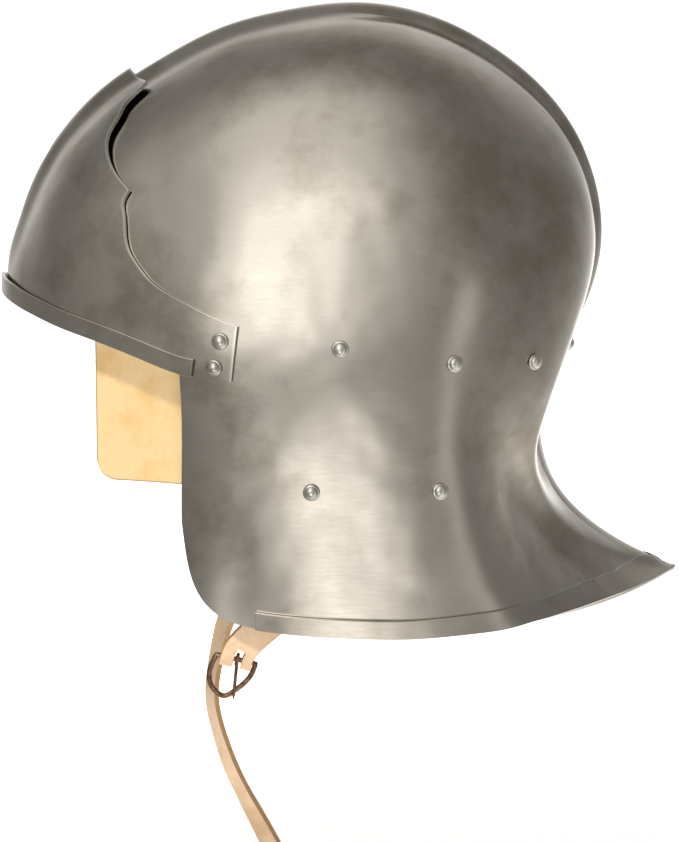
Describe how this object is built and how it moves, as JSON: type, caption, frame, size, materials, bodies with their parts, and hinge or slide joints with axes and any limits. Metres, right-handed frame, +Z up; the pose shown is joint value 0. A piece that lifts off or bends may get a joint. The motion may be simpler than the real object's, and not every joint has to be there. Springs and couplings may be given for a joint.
{
  "type": "sallet",
  "caption": "Open-faced steel sallet with a low comb, riveted brow plate, drawn-out tail, leather lining band and a buckled chin strap.",
  "frame": {"origin": "on the middle plane at the top of the hollow, where the head's crown sits", "axes": "+Z up, -Y towards the face, +X towards the wearer's left"},
  "size_m": [0.2158, 0.322, 0.4412],
  "materials": {
    "steel_skull": "satin, faint scratches",
    "steel_bands": "satin",
    "steel_rivets": "polished heads",
    "leather_lining": "vegetable-tanned, matt",
    "leather_strap": "vegetable-tanned, rough on the flesh side",
    "bronze": "dark bronze, worn"
  },
  "bodies": {
    "helmet": {"brow_band": "steel_bands", "brow_plate": "steel_skull", "lining": "leather_lining", "rim_band": "steel_bands", "rivet_brow_lower_left": "steel_rivets", "rivet_brow_lower_right": "steel_rivets", "rivet_brow_upper_left": "steel_rivets", "rivet_brow_upper_right": "steel_rivets", "rivet_cheek_front_left": "steel_rivets", "rivet_cheek_front_right": "steel_rivets", "rivet_cheek_rear_left": "steel_rivets", "rivet_cheek_rear_right": "steel_rivets", "rivet_ear_front_left": "steel_rivets", "rivet_ear_front_right": "steel_rivets", "rivet_ear_rear_left": "steel_rivets", "rivet_ear_rear_right": "steel_rivets", "rivet_neck_front_left": "steel_rivets", "rivet_neck_front_right": "steel_rivets", "rivet_neck_rear_left": "steel_rivets", "rivet_neck_rear_right": "steel_rivets", "skull": "steel_skull", "strap_left": "leather_strap", "strap_right": "leather_strap"},
    "buckle_frame": {"buckle_frame": "bronze"},
    "buckle_prong": {"buckle_prong": "bronze"}
  },
  "joints": [
    {"name": "buckle_frame_swing", "type": "hinge", "parent": "helmet", "child": "buckle_frame", "pos_m": [0.08053, -0.05498, -0.29092], "axis": [0, 0.9703, -0.2419], "range_deg": [-20, 70]},
    {"name": "buckle_prong_swing", "type": "hinge", "parent": "buckle_frame", "child": "buckle_prong", "pos_m": [0.08053, -0.05498, -0.29092], "axis": [0, 0.9703, -0.2419], "range_deg": [-90, 0]}
  ]
}
